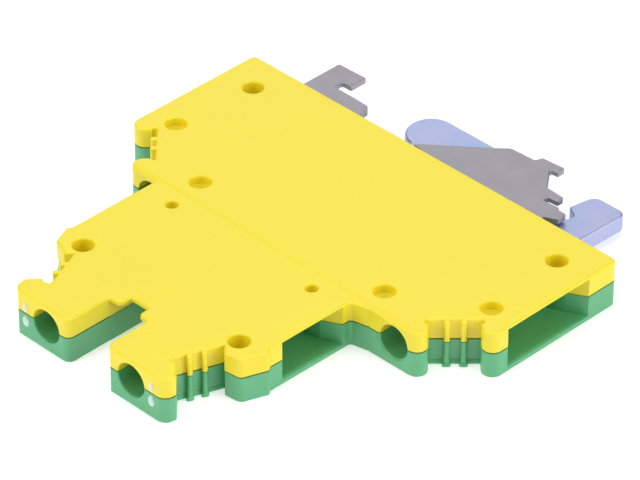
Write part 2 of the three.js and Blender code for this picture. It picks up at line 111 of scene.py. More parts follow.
def offset(corners, inset):
    """The outline moved inwards by inset, with rounded corners kept concentric."""
    lines = []
    for i, (x, y, _) in enumerate(corners):
        nx, ny, _ = corners[(i + 1) % len(corners)]
        way = Vector((nx - x, ny - y)).normalized()
        lines.append((Vector((x, y)) + Vector((-way.y, way.x)) * inset, way))
    moved = []
    for i, (_, _, r) in enumerate(corners):
        (p0, d0), (p1, d1) = lines[i - 1], lines[i]
        turn = d0.x * d1.y - d0.y * d1.x
        point = p1
        if abs(turn) > 1e-4:
            gap = p1 - p0
            point = p0 + d0 * ((gap.x * d1.y - gap.y * d1.x) / turn)
        if r > 0:
            r = max(r - inset, 0.02) if turn > 0 else max(r + inset, 0.02)
        moved.append((point.x, point.y, r))
    return moved


def arc_steps(corners):
    """How many steps each corner's arc takes, by its radius and its turn."""
    steps = []
    for i, (x, y, r) in enumerate(corners):
        a = Vector(corners[i - 1][:2]) - Vector((x, y))
        b = Vector(corners[(i + 1) % len(corners)][:2]) - Vector((x, y))
        turn = math.pi - a.angle(b)
        fine = 3 if r < 0.3 else 5 if r < 0.9 else 8 if r < 2 else 14
        steps.append(max(2, math.ceil(turn / (math.pi / 2) * fine)) if r > 0 else 0)
    return steps


def trace(corners, steps):
    """The outline's points, with an arc of the given steps at each rounded corner."""
    points = []
    for i, (x, y, r) in enumerate(corners):
        here = Vector((x, y))
        if not steps[i]:
            points.append((x, y))
            continue
        a = (Vector(corners[i - 1][:2]) - here).normalized()
        b = (Vector(corners[(i + 1) % len(corners)][:2]) - here).normalized()
        half = a.angle(b) / 2
        centre = here + (a + b).normalized() * (r / math.sin(half))
        start = here + a * (r / math.tan(half)) - centre
        turn = (math.pi - 2 * half) * (1 if b.x * a.y - b.y * a.x > 0 else -1)
        for k in range(steps[i] + 1):
            t = turn * k / steps[i]
            c, s = math.cos(t), math.sin(t)
            points.append((centre.x + start.x * c - start.y * s, centre.y + start.x * s + start.y * c))
    return points


def mesh_object(name, verts, faces):
    """A new mesh object with merged corners and its faces pointing out."""
    mesh = bpy.data.meshes.new(name)
    mesh.from_pydata(verts, [], faces)
    work = bmesh.new()
    work.from_mesh(mesh)
    bmesh.ops.remove_doubles(work, verts=work.verts, dist=1e-4)
    bmesh.ops.recalc_face_normals(work, faces=work.faces)
    work.to_mesh(mesh)
    work.free()
    thing = bpy.data.objects.new(name, mesh)
    bpy.context.scene.collection.objects.link(thing)
    return thing


def loft(name, rings):
    """A closed body through rings of equal length, capped at both ends."""
    n = len(rings[0])
    verts = [p for ring in rings for p in ring]
    faces = [list(range(n))[::-1], list(range(n * (len(rings) - 1), n * len(rings)))]
    for k in range(len(rings) - 1):
        for i in range(n):
            j = (i + 1) % n
            faces.append([k * n + i, k * n + j, (k + 1) * n + j, (k + 1) * n + i])
    return mesh_object(name, verts, faces)


def rounding(size, steps=4):
    """(inset, drop) pairs of a quarter-round edge, from the side wall to the flat face."""
    angles = [math.pi / 2 * k / steps for k in range(steps + 1)]
    return [(size * (1 - math.cos(a)), size * (1 - math.sin(a))) for a in angles]


def prism(name, points, z0, z1, low=(), high=()):
    """An extruded outline. low and high are (inset, distance from that face) profiles."""
    corners = to_xy(points)
    steps = arc_steps(corners)
    levels = [(inset, z0 + drop) for inset, drop in list(low)[::-1]] or [(0, z0)]
    levels += [(inset, z1 - drop) for inset, drop in high] or [(0, z1)]
    rings = [[(x, y, z) for x, y in trace(offset(corners, inset), steps)] for inset, z in levels]
    return loft(name, rings)


def block(name, u0, u1, h0, h1, z0, z1):
    """A box between two values of u, h and z."""
    return prism(name, [[u0, h0], [u1, h0], [u1, h1], [u0, h1]], z0, z1)


def turned_h(name, u, z, profile, sides=48):
    """A round body along h, from (radius, h) stations."""
    rings = []
    for radius, h in profile:
        ring = []
        for k in range(sides):
            a = 2 * math.pi * k / sides
            ring.append((u - DECK + radius * math.cos(a), FRONT_Y - h, z + radius * math.sin(a)))
        rings.append(ring)
    return loft(name, rings)


def turned_z(name, u, h, profile, sides=40):
    """A round body along z, from (radius, z) stations."""
    rings = []
    for radius, z in profile:
        ring = []
        for k in range(sides):
            a = 2 * math.pi * k / sides
            ring.append((u - DECK + radius * math.cos(a), FRONT_Y - h + radius * math.sin(a), z))
        rings.append(ring)
    return loft(name, rings)


def strip(name, section, h0, h1):
    """A (u, z) section drawn out along h."""
    return loft(name, [[(u - DECK, FRONT_Y - h, z) for u, z in section] for h in (h0, h1)])


def leaning_strip(name, section, edge, way, low, high):
    """A section of (distance out from the edge, z) drawn out along h, between two leaning ends.

    Each end is (h at the edge, lean), so that it follows the wall beside it.
    """
    rings = []
    for h, lean in (low, high):
        rings.append([(edge + way * out - DECK, FRONT_Y - (h - lean * out), z) for out, z in section])
    return loft(name, rings)


def settle(thing):
    """Bakes the object's modifiers into its mesh."""
    bpy.context.view_layer.update()
    graph = bpy.context.evaluated_depsgraph_get()
    mesh = bpy.data.meshes.new_from_object(thing.evaluated_get(graph))
    thing.modifiers.clear()
    thing.data = mesh
    return thing


def combine(thing, others, operation):
    """Joins the other bodies to the thing or cuts them out of it, and removes them."""
    for other in others:
        step = thing.modifiers.new("step", "BOOLEAN")
        step.operation = operation
        step.solver = "MANIFOLD"
        step.object = other
    settle(thing)
    for other in others:
        bpy.data.objects.remove(other)
    return thing


def cut(thing, others):
    return combine(thing, others, "DIFFERENCE")


def join(thing, others):
    return combine(thing, others, "UNION")


def even_normals(mesh, sharp):
    """Corner normals weighted by area, kept apart where faces meet at more than the sharp angle."""
    limit = math.cos(math.radians(sharp))
    sides = [(face.normal.copy(), face.area) for face in mesh.polygons]
    around = [[] for _ in mesh.vertices]
    for face in mesh.polygons:
        for v in face.vertices:
            around[v].append(face.index)
    corners = []
    for face in mesh.polygons:
        for v in face.vertices:
            total = Vector()
            for other in around[v]:
                normal, area = sides[other]
                if normal.dot(face.normal) > limit:
                    total += normal * area
            corners.append(total.normalized() if total.length > 1e-9 else face.normal.copy())
    mesh.normals_split_custom_set(corners)


def split_many_sided(work):
    bmesh.ops.triangulate(work, faces=[face for face in work.faces if len(face.verts) > 4])


def finish_mesh(thing, sharp=34):
    """Cleans the mesh, shades it smooth between sharp edges and turns millimetres into metres."""
    work = bmesh.new()
    work.from_mesh(thing.data)
    bmesh.ops.remove_doubles(work, verts=work.verts, dist=2e-4)
    split_many_sided(work)
    bmesh.ops.dissolve_degenerate(work, edges=work.edges, dist=4e-4)
    split_many_sided(work)
    work.to_mesh(thing.data)
    work.free()
    thing.data.shade_smooth()
    even_normals(thing.data, sharp)
    thing.data.transform(Matrix.Scale(MM, 4))
    return thing


# ------------------------------------------------------------------ materials


class Nodes:
    """A small helper to write a material's node tree."""

    def __init__(self, name):
        self.material = bpy.data.materials.new(name)
        self.material.use_nodes = True
        self.tree = self.material.node_tree
        self.shader = self.tree.nodes["Principled BSDF"]
        self.place = self.add("ShaderNodeTexCoord").outputs["Object"]

    def add(self, kind, **values):
        node = self.tree.nodes.new(kind)
        for key, value in values.items():
            setattr(node, key, value)
        return node

    def link(self, a, b):
        self.tree.links.new(a, b)

    def feed(self, name, value):
        """Gives the shader's named input a fixed value, or links it to another node's output."""
        socket = self.shader.inputs[name]
        if isinstance(value, bpy.types.NodeSocket):
            self.link(value, socket)
        else:
            socket.default_value = value

    def noise(self, scale, detail=3.0, roughness=0.55, stretch=None):
        node = self.add("ShaderNodeTexNoise")
        node.inputs["Scale"].default_value = scale
        node.inputs["Detail"].default_value = detail
        node.inputs["Roughness"].default_value = roughness
        source = self.place
        if stretch:
            mapping = self.add("ShaderNodeMapping")
            mapping.inputs["Scale"].default_value = stretch
            self.link(self.place, mapping.inputs["Vector"])
            source = mapping.outputs["Vector"]
        self.link(source, node.inputs["Vector"])
        return node.outputs["Fac"]

    def ramp(self, source, stops):
        node = self.add("ShaderNodeValToRGB")
        band = node.color_ramp
        while len(band.elements) < len(stops):
            band.elements.new(0.5)
        for element, (at, colour) in zip(band.elements, stops):
            element.position = at
            element.color = (*colour, 1.0) if len(colour) == 3 else colour
        self.link(source, node.inputs["Fac"])
        return node.outputs["Color"]

    def spread(self, source, low, high, start=0.0, end=1.0):
        node = self.add("ShaderNodeMapRange")
        node.inputs["From Min"].default_value = start
        node.inputs["From Max"].default_value = end
        node.inputs["To Min"].default_value = low
        node.inputs["To Max"].default_value = high
        self.link(source, node.inputs["Value"])
        return node.outputs["Result"]

    def band(self, axis, centre, core, fade):
        """0.85 within core of the given level along an axis, falling to zero at fade."""
        split = self.add("ShaderNodeSeparateXYZ")
        self.link(self.place, split.inputs[0])
        away = self.add("ShaderNodeMath", operation="SUBTRACT")
        away.inputs[1].default_value = centre
        self.link(split.outputs[axis], away.inputs[0])
        size = self.add("ShaderNodeMath", operation="ABSOLUTE")
        self.link(away.outputs[0], size.inputs[0])
        return self.spread(size.outputs[0], 0.85, 0.0, core, fade)

    def mix(self, factor, a, b):
        node = self.add("ShaderNodeMix", data_type="RGBA")
        for key, value in (("Factor", factor), ("A", a), ("B", b)):
            kinds = ("VALUE",) if key == "Factor" else ("RGBA",)
            socket = next(s for s in node.inputs if s.name == key and s.type in kinds)
            if isinstance(value, tuple):
                socket.default_value = (*value, 1.0)
            else:
                self.link(value, socket)
        return next(s for s in node.outputs if s.type == "RGBA")

    def bump(self, source, height, strength=1.0, under=None):
        node = self.add("ShaderNodeBump")
        node.inputs["Distance"].default_value = height
        node.inputs["Strength"].default_value = strength
        self.link(source, node.inputs["Height"])
        if under:
            self.link(under, node.inputs["Normal"])
        return node.outputs["Normal"]


# Painted shadow: the dark olive of the parting groove, laid on as colour in a thin band at the parting
# plane's height.
PAINTED_SEAM_SHADOW = (0.17, 0.20, 0.010)


def moulded_plastic(name, light, deep, specular, glow):
    """Satin polyamide: slight colour drift, a fine spark-eroded grain, a little depth and a painted shadow
    along the parting line.
    """
    n = Nodes(name)
    drift = n.noise(90.0, 2.0)
    grain = n.noise(5200.0, 2.0)
    colour = n.ramp(drift, [(0.3, deep), (0.7, light)])
    fleck = n.spread(n.noise(2600.0, 1.0), 0.0, 0.10, 0.55, 0.8)
    pale = tuple(min(1.0, c * 1.12 + 0.01) for c in light)
    colour = n.mix(fleck, colour, pale)
    # Painted shadow: a thin dark band at the parting plane's height stands in for the shade in the groove
    # between the halves.
    painted_seam_shadow = n.band("Z", PARTING_Z * MM, 0.00006, 0.00011)
    colour = n.mix(painted_seam_shadow, colour, PAINTED_SEAM_SHADOW)
    n.feed("Base Color", colour)
    n.feed("Roughness", n.spread(grain, 0.36, 0.50, 0.3, 0.7))
    fine = n.bump(grain, 0.000006, 0.6)
    n.feed("Normal", n.bump(n.noise(700.0, 2.0), 0.00001, 0.35, fine))
    n.feed("IOR", 1.5)
    n.feed("Specular IOR Level", specular)
    n.feed("Subsurface Weight", 0.25)
    n.feed("Subsurface Radius", glow)
    n.feed("Subsurface Scale", 0.0008)
    return n.material


def painted_highlight_pip(name, light, deep):
    """The same plastic, smooth and glossy, with a pale base colour that is a painted highlight of the glint
    on the small dome.
    """
    n = Nodes(name)
    # Painted highlight: the pale whitish base colour stands in for the glint on the dome.
    n.feed("Base Color", n.ramp(n.noise(1800.0, 2.0), [(0.3, deep), (0.7, light)]))
    n.feed("Roughness", n.spread(n.noise(3000.0, 2.0), 0.10, 0.18, 0.3, 0.7))
    n.feed("Normal", n.bump(n.noise(2500.0, 1.0), 0.000004, 0.3))
    n.feed("Coat Weight", 0.6)
    n.feed("Coat Roughness", 0.08)
    return n.material


def rolled_sheet(name, light, dark, rough):
    """Nickel-plated stamped sheet: cloudy matte plating with fine rolling lines."""
    n = Nodes(name)
    cloud = n.noise(420.0, 4.0, 0.6)
    lines = n.noise(900.0, 3.0, 0.6, stretch=(1.0, 9.0, 1.0))
    rolled = n.spread(lines, 0.0, 0.35, 0.35, 0.75)
    colour = n.mix(rolled, n.ramp(cloud, [(0.3, dark), (0.72, light)]), dark)
    n.feed("Base Color", colour)
    n.feed("Metallic", 1.0)
    n.feed("Roughness", n.spread(cloud, rough - 0.06, rough + 0.1, 0.3, 0.7))
    fine = n.bump(n.noise(6000.0, 2.0), 0.000008, 0.5)
    n.feed("Normal", n.bump(lines, 0.00001, 0.5, fine))
    return n.material


def zinc_plate(name, cool, warm, rough):
    """Passivated zinc: bluish with faint violet clouds, satin, with a soft sparkle."""
    n = Nodes(name)
    cloud = n.noise(260.0, 3.0, 0.5)
    tint = n.ramp(cloud, [(0.32, cool), (0.68, warm)])
    speck = n.noise(3600.0, 2.0)
    sparkle = n.spread(speck, 0.0, 0.3, 0.55, 0.8)
    tint = n.mix(sparkle, tint, tuple(min(1.0, c * 1.2) for c in cool))
    n.feed("Base Color", tint)
    n.feed("Metallic", 1.0)
    n.feed("Roughness", n.spread(speck, rough - 0.05, rough + 0.08, 0.3, 0.7))
    n.feed("Normal", n.bump(speck, 0.00001, 0.4))
    return n.material


def turned_steel(name, light, dark):
    """Bright zinc-plated screw steel with turning marks."""
    n = Nodes(name)
    rings = n.noise(1500.0, 3.0, 0.6, stretch=(0.6, 3.0, 0.6))
    n.feed("Base Color", n.ramp(rings, [(0.3, dark), (0.7, light)]))
    n.feed("Metallic", 1.0)
    n.feed("Roughness", n.spread(rings, 0.22, 0.36, 0.3, 0.7))
    n.feed("Normal", n.bump(rings, 0.000008, 0.5))
    return n.material


def plated_copper(name):
    """Tin-plated copper alloy, where a little of the warm base metal shows through."""
    n = Nodes(name)
    patches = n.noise(500.0, 4.0, 0.6)
    colour = n.ramp(patches, [(0.35, (0.62, 0.47, 0.25)), (0.62, (0.72, 0.64, 0.47))])
    n.feed("Base Color", colour)
    n.feed("Metallic", 1.0)
    n.feed("Roughness", n.spread(patches, 0.28, 0.44, 0.3, 0.7))
    n.feed("Normal", n.bump(n.noise(4000.0, 2.0), 0.000008, 0.4))
    return n.material


def floor_surface(name):
    """A matt pale surface that glows a little, so that it stays even out to its edges."""
    n = Nodes(name)
    shade = n.ramp(n.noise(6.0, 2.0), [(0.3, (0.66, 0.66, 0.66)), (0.7, (0.69, 0.69, 0.69))])
    n.feed("Base Color", shade)
    n.feed("Emission Color", (1.0, 1.0, 1.0, 1.0))
    n.feed("Emission Strength", 0.5)
    n.feed("Roughness", 0.9)
    n.feed("Specular IOR Level", 0.2)
    return n.material


YELLOW = moulded_plastic(
    "yellow_polyamide",
    light=(0.87, 0.722, 0.011),
    deep=(0.85, 0.702, 0.009),
    specular=0.75,
    glow=(1.0, 0.75, 0.2),
)
GREEN = moulded_plastic(
    "green_polyamide",
    light=(0.088, 0.435, 0.195),
    deep=(0.080, 0.405, 0.175),
    specular=0.9,
    glow=(0.3, 1.0, 0.5),
)
# The pips' pale cream and pale cyan colours are painted highlight: the glints on the small domes.
YELLOW_PIP = painted_highlight_pip("yellow_pip", (0.82, 0.80, 0.42), (0.76, 0.72, 0.28))
GREEN_PIP = painted_highlight_pip("green_pip", (0.62, 0.82, 0.76), (0.45, 0.70, 0.58))
SHEET = rolled_sheet("nickel_sheet", (0.425, 0.41, 0.45), (0.355, 0.34, 0.38), 0.5)
JAW = zinc_plate("blue_zinc", (0.42, 0.50, 0.74), (0.50, 0.51, 0.74), 0.5)
STEEL = turned_steel("zinc_steel", (0.72, 0.72, 0.70), (0.50, 0.50, 0.50))
COPPER = plated_copper("tinned_copper")


def dress(thing, material):
    """Gives the thing this material alone."""
    thing.data.materials.clear()
    thing.data.materials.append(material)
    return thing


def stand_for(thing, body, slot_name, material, *nodes):
    """Gives a finished piece its material and its body, and hides the CAD nodes that it stands for."""
    dress(thing, material)
    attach(thing, body)
    if nodes:
        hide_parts(*nodes)
    return thing


# ------------------------------------------------------------------ housing outline


def rib_outlines(start, end, places, height, width=0.7):
    """Round-nosed ribs that stand out at 45 degrees from the wall between two points."""
    run = Vector((end[0] - start[0], end[1] - start[1])).normalized()
    out = Vector((1, 1)).normalized()
    buried, nose = 0.55, 0.3
    ribs = []
    for place in places:
        near, far = (Vector(start) + run * (place + side * width / 2) for side in (-1, 1))
        corners = [(near - out * buried, 0), (near + out * height, nose)]
        corners += [(far + out * height, nose), (far - out * buried, 0)]
        ribs.append([[corner.x, corner.y, r] for corner, r in corners])
    return ribs


LOWER_WALL = (56.94, 19.26), (52.3, 23.9)
UPPER_WALL = (39.5, 43.2), (37.25, 49.05)

LOWER_SIDE = [
    [LENGTH, 0.0, 0.8],
    [LENGTH, 22.74, 1.3],
    [57.12, 19.86, 0.1],
    [57.33, 19.65, 0.0],
    [*LOWER_WALL[0], 0.0],
    [*LOWER_WALL[1], 0.0],
    [52.69, 24.29, 0.0],
    [52.9, 24.08, 0.1],
    [55.72, SHOULDER, 1.3],
]

UPPER_SIDE = [
    [UPPER_END, 40.1, 0.25],
    [UPPER_END + 0.4, 40.7, 0.4],
    [42.85, 44.05, 0.9],
    [40.6, 44.3, 0.25],
    [*UPPER_WALL[0], 0.05],
    [*UPPER_WALL[1], 0.0],
    [37.45, 49.6, 0.0],
    [37.95, 49.15, 0.1],
    [40.0, 51.2, 0.3],
    [39.85, TIP, 1.3],
]

LEFT_WALL = (39.75, 43.45), (37.5, 48.85)

# The left arm's outer side differs a little from the right one's; it is written mirrored.
LEFT_ARM_SIDE = [
    [UPPER_END, 40.1, 0.25],
    [UPPER_END + 0.4, 40.7, 0.4],
    [43.0, 43.3, 0.5],
    [40.6, 44.25, 0.2],
    [*LEFT_WALL[0], 0.05],
    [*LEFT_WALL[1], 0.0],
    [37.55, 49.4, 0.0],
    [38.3, 49.55, 0.0],
    [38.7, 49.3, 0.1],
    [40.1, 50.75, 0.6],
    [39.88, 52.1, 0.5],
    [38.9, TIP, 0.3],
]

GAP = 27.1  # centre line of the gap between the arms
ARM_INNER = 30.2  # the right arm's inner side
LEFT_ARM_INNER = 2 * GAP - ARM_INNER
NOTCH_SIDE = [
    [ARM_INNER, 46.4, 0.3],
    [28.55, 46.2, 0.7],
    [28.55, 44.55, 0.2],
]

OUTLINE = [
    *LOWER_SIDE,
    [46.2, 26.95, 0.3],
    [UPPER_END + 0.15, 27.5, 0.5],
    *UPPER_SIDE,
    [31.0, TIP, 0.35],
    [ARM_INNER, 52.0, 0.35],
    *NOTCH_SIDE,
    *mirror(NOTCH_SIDE, GAP),
    [LEFT_ARM_INNER, TIP, 0.95],
    *mirror(LEFT_ARM_SIDE, UPPER),
    [UPPER - UPPER_HALF, SHOULDER, 0.15],
    *mirror(LOWER_SIDE, DECK),
]

# The ribs in each recess, and the flared foot that they share with the wall on the green side.
FOOT_OUT, FOOT_IN = 0.15, -0.5
RIBS, FLARES = [], []
for centre, ways, wall, places, height in (
    (DECK, (1, -1), LOWER_WALL, (2.22, 4.17), 0.7),
    (UPPER, (1,), UPPER_WALL, (2.4, 4.25), 0.8),
    (UPPER, (-1,), LEFT_WALL, (2.2, 3.95), 0.8),
):
    foot = [[u + FOOT_OUT, h + FOOT_OUT, 0] for u, h in wall]
    foot += [[u + FOOT_IN, h + FOOT_IN, 0] for u, h in wall[::-1]]
    ribs = rib_outlines(*wall, places, height)
    feet = [foot, *rib_outlines(*wall, places, height + 0.16, 1.0)]
    for way in ways:
        RIBS += [rib if way > 0 else mirror(rib, centre) for rib in ribs]
        FLARES += [flare if way > 0 else mirror(flare, centre) for flare in feet]

LOWER_HOLLOW = [
    [LENGTH + 1, 4.3, 0],
    [LENGTH, 4.85, 0.5],
    [57.6, 6.2, 1.2],
    [55.4, 7.2, 0],
    [LOWER_U - CHAMBER, 7.2, 0],
    [LOWER_U - CHAMBER, 21.3, 0],
    [LOWER_U + CHAMBER, 21.3, 0],
    [LOWER_U + CHAMBER, 14.9, 0],
    [55.4, 14.9, 0.8],
    [57.3, 15.6, 1.5],
    [58.9, 17.5, 1.0],
    [59.65, 18.05, 0.2],
    [LENGTH, 18.5, 0],
    [LENGTH + 1, 20.0, 0],
]

UPPER_HOLLOW = [
    [UPPER_END + 0.8, 28.35, 0],
    [UPPER_END, 28.75, 0.5],
    [41.4, 29.95, 1.0],
    [39.1, 30.4, 0],
    [UPPER_U + CHAMBER, 30.4, 0],
    [UPPER_U + CHAMBER, 28.6, 0],
    [UPPER_U - CHAMBER, 28.6, 0],
    [UPPER_U - CHAMBER, 42.7, 0],
    [UPPER_U + CHAMBER, 42.7, 0],
    [UPPER_U + CHAMBER, 36.2, 0],
    [39.6, 36.3, 0.8],
    [41.3, 36.9, 1.0],
    [43.0, 37.9, 0.4],
    [UPPER_END - 0.25, 38.0, 0.15],
    [UPPER_END, 38.25, 0],
    [UPPER_END + 0.8, 39.2, 0],
]

# Each clamp's (u, height above the lower deck's clamps, h of its driver hole's mouth).
STATIONS = {
    "lower_left": (DECK - LOWER_SCREW, 0.0, 45.5),
    "lower_right": (LOWER_U, 0.0, SHOULDER),
    "upper_left": (UPPER - UPPER_SCREW, LIFT, TIP),
    "upper_right": (UPPER_U, LIFT, TIP),
}


def wire_mouths():
    """Chamfered lips at the four wire entries: a sloping sill on the floor and a thinned ceiling."""
    sill = [(-0.25, FLOOR), (0.25, 0.5), (0.25, 1.2), (-0.25, 1.2)]
    lintel = [(-0.9, CEILING), (0.0, 5.95), (0.4, 6.05), (0.4, 5.2), (-0.9, 5.2)]
    lips = []
    for centre, end, low, high in (
        (DECK, LENGTH, (4.85, 0.56), (18.5, -1.12)),
        (UPPER, UPPER_END, (28.75, 0.52), (38.25, -0.6)),
    ):
        for way in (1, -1):
            edge = centre + way * (end - centre)
            for name, section in (("sill", sill), ("lintel", lintel)):
                lips.append(leaning_strip(name, section, edge, way, low, high))
    return lips


# Rooms that are cut into both halves: the slot between the arms, and one for each foot plate.
SLOT_ROOT, SLOT_MOUTH, SLOT_CEILING = 40.0, 46.6, 5.5
SLOT_ROOM = [
    [ARM_INNER, SLOT_ROOT, 0.35],
    [ARM_INNER, SLOT_MOUTH, 0],
    [LEFT_ARM_INNER, SLOT_MOUTH, 0],
    [LEFT_ARM_INNER, SLOT_ROOT, 0.35],
]

HOOK_ROOM = [
    [6.45, -1],
    [16.45, -1],
    [16.45, 1.85],
    [19.95, 1.85],
    [19.95, 11.75],
    [14.45, 11.75],
    [14.45, 5.55],
    [6.45, 4.55],
]

TOOTHED_ROOM = [
    [30.45, -1],
    [46.3, -1],
    [45.85, 11.75],
    [40.05, 11.75],
    [40.05, 4.95],
    [30.45, 4.35],
]

BAR_TOP_H = 14.75  # top of the rooms for the lower bar
WEB_CEILING = 1.95  # the bars' webs and the strap lie between the hollows' floor and this
FOOT_FLOOR = 0.65  # floor of the rooms for the jaw and its nut
PLATE_ROOM_Z = 3.3, 4.3  # floor and ceiling of the foot plates' rooms
NUT_HALF = 2.8  # half the width of the nut's room and of the jaw's window for it


def hollows():
    """Everything that both halves are hollowed by."""
    made = [
        prism("pocket", LOWER_HOLLOW, FLOOR, CEILING),
        prism("pocket", mirror(LOWER_HOLLOW, DECK), FLOOR, CEILING),
        prism("pocket", UPPER_HOLLOW, FLOOR, CEILING),
        prism("pocket", mirror(UPPER_HOLLOW, UPPER), FLOOR, CEILING),
    ]
    for name, (u, lift, mouth) in STATIONS.items():
        r = CHANNEL_R
        profile = [(r, 21 + lift)]
        # The lower left hole runs on up the upper deck's side as a groove, without a bevelled rim.
        if name == "lower_left":
            profile += [(r, mouth)]
        else:
            profile += [(r, mouth - 0.3), (r + 0.08, mouth - 0.13), (r + 0.3, mouth), (r + 0.3, mouth + 1)]
        made.append(turned_h("channel", u, SCREW_Z, profile))
    for centre, edge, lift in ((DECK, LOWER_SCREW - CHAMBER, 0), (UPPER, UPPER_SCREW - CHAMBER, LIFT)):
        for way in (-1, 1):
            ends = sorted((centre + way * (edge - 1.55), centre + way * (edge + 0.1)))
            made.append(block("root_room", *ends, 13.05 + lift, BAR_TOP_H + lift, FLOOR, 4.65))
    web_ends = DECK - LOWER_SCREW + CHAMBER - 0.1, LOWER_U - CHAMBER + 0.1
    made += [
        block("web_room", *web_ends, 7.6, BAR_TOP_H, FLOOR, WEB_CEILING),
        block("strap_room", UPPER - 2.5, UPPER + 2.5, 14.6, 34.6, FLOOR, WEB_CEILING),
        block("web_room", UPPER - 3.65, UPPER + 3.65, 32.45, 36.15, FLOOR, WEB_CEILING),
        prism("slot_room", SLOT_ROOM, -1, SLOT_CEILING),
        block("jaw_room", 23.2, 34.6, -1, 6.5, FOOT_FLOOR, PARTING_Z),
        block("nut_room", UPPER - NUT_HALF, UPPER + NUT_HALF, -1, 4.0, FOOT_FLOOR, 5.6),
        turned_h("screw_room", UPPER, FOOT_Z, [(2.0, 3), (2.0, 11)]),
        turned_h("driver_room", UPPER, FOOT_Z, [(1.75, 10), (1.75, 44.45), (2.0, 44.75), (2.0, 46)]),
        prism("hook_room", HOOK_ROOM, *PLATE_ROOM_Z),
        prism("toothed_room", TOOTHED_ROOM, *PLATE_ROOM_Z),
    ]
    for u in (RIVET_U, LENGTH - RIVET_U):
        made.append(turned_z("rivet_room", u, RIVET_H, [(2.0, FLOOR), (2.0, 5.1)]))
    return made


# Round sockets in the yellow face: (centre line, distance from it, h, radius, depth).
SOCKETS = [
    (DECK, 25.05, 5.05, 1.3, 2.2),
    (DECK, 26.0, 17.05, 1.3, 1.2),
    (DECK, 15.2, 23.35, 1.3, 1.2),
    (UPPER, 12.95, 41.6, 1.3, 2.2),
    (UPPER, 11.6, 28.75, 0.78, 1.3),
]
# Pins that join the halves: (centre line, distance from it, h).
PINS = [(DECK, 15.2, 23.35), (DECK, 9.5, 19.0)]


def both_ways(centre, distance):
    """The two values of u at a distance either side of a centre line."""
    return centre - distance, centre + distance


def socket_cutters():
    """Round sockets with a soft rim and a slightly rounded floor."""
    made = []
    for centre, distance, h, r, depth in SOCKETS:
        for u in both_ways(centre, distance):
            top, floor, wall, rim = THICKNESS, THICKNESS - depth, r - 0.04, r + 0.2
            profile = [(r - 0.16, floor), (r - 0.07, floor + 0.05), (wall, floor + 0.15)]
            profile += [(wall, top - 0.34), (r, top - 0.18), (r + 0.08, top - 0.06)]
            profile += [(rim, top), (rim, top + 1)]
            made.append(turned_z("socket", u, h, profile))
    return made


def at_pins(name, profile):
    """One round body at each pin's place."""
    return [
        turned_z(name, u, h, profile)
        for centre, distance, h in PINS
        for u in both_ways(centre, distance)
    ]


def deck_step(thing):
    """Lowers the upper deck's outer face by a soft step, without moving the inner surfaces."""
    work = bmesh.new()
    work.from_mesh(thing.data)
    bmesh.ops.triangulate(work, faces=work.faces)
    start, end, slices = SHOULDER - 1.0, SHOULDER - 0.1, 6
    for k in range(slices + 1):
        y = FRONT_Y - (start + (end - start) * k / slices)
        parts = work.verts[:] + work.edges[:] + work.faces[:]
        bmesh.ops.bisect_plane(work, geom=parts, plane_co=(0, y, 0), plane_no=(0, 1, 0), dist=1e-5)
    for v in work.verts:
        along = min(1.0, max(0.0, (FRONT_Y - v.co.y - start) / (end - start)))
        ease = along * along * (3 - 2 * along)
        v.co.z -= UPPER_STEP * ease * max(0.0, (v.co.z - CEILING) / (THICKNESS - CEILING))
    work.to_mesh(thing.data)
    work.free()


def parting_edge():
    """The narrow groove where the two halves meet."""
    return [(0.0, 0.1), (0.04, 0.06), (0.12, 0.025), (0.22, 0.0)]


def pip(name, u, z):
    """A small glossy dome beside a driver hole on an arm's tip, its root sunk into the plastic."""
    root, rise, half_width, half_height, sunk, sides = TIP - 0.12, 0.35, 0.56, 0.8, 0.2, 28
    # The last ring stops a little short of the top and closes the dome with a small flat.
    climb = [math.pi / 2 * k / 5.3 for k in range(6)]
    rings = []
    for h, a in [(root - sunk, 0.0), *((root + rise * math.sin(a), a) for a in climb)]:
        wide, tall = half_width * math.cos(a), half_height * math.cos(a)
        ring = []
        for i in range(sides):
            t = 2 * math.pi * i / sides
            ring.append((u - DECK + wide * math.cos(t), FRONT_Y - h, z + tall * math.sin(t)))
        rings.append(ring)
    return finish_mesh(loft(name, rings), 60)


def yellow_half():
    """The half above the parting plane, with the sockets, the shallow label panel and the step."""
    low = PARTING_Z + SEAM
    body = prism("yellow_half", OUTLINE, low, THICKNESS, parting_edge(), rounding(0.32, 5))
    rib_edges = rounding(0.06, 2), rounding(0.12, 3)
    join(body, [prism("rib", rib, low, THICKNESS, *rib_edges) for rib in RIBS])
    panel = [[16.9, 29.4, 0.4], [37.5, 29.4, 0.4], [37.5, 43.1, 0.4], [16.9, 43.1, 0.4]]
    panel_depth, panel_rim = 0.035, [(0.0, 0.035), (0.3, 0.004), (0.45, 0.0)]
    label = prism("label", panel, THICKNESS - panel_depth, THICKNESS + 0.6, panel_rim)
    pin_holes = at_pins("pin_hole", [(1.1, 3.0), (1.1, PARTING_Z + 1.3)])
    cut(body, [*hollows(), *wire_mouths(), *socket_cutters(), *pin_holes, label])
    deck_step(body)
    return finish_mesh(body)


def green_half():
    """The half below the parting plane, with flared rib feet and the pins that join the halves."""
    high = PARTING_Z - SEAM
    body = prism("green_half", OUTLINE, 0.0, high, rounding(0.1, 3), parting_edge())
    rib_edges = rounding(0.08, 3), rounding(0.06, 2)
    join(body, [prism("rib", rib, 0.0, high, *rib_edges) for rib in RIBS])
    flare_height, flare_slope = 0.5, [(0.0, 0.38), (0.05, 0.2), (0.13, 0.06), (0.2, 0.0)]
    join(body, [prism("flare", foot, 0.0, flare_height, (), flare_slope) for foot in FLARES])
    cut(body, [*hollows(), *wire_mouths()])
    pin = [(1.0, PARTING_Z - 0.5), (1.0, PARTING_Z + 0.95), (0.85, PARTING_Z + 1.1)]
    join(body, at_pins("pin", pin))
    return finish_mesh(body)


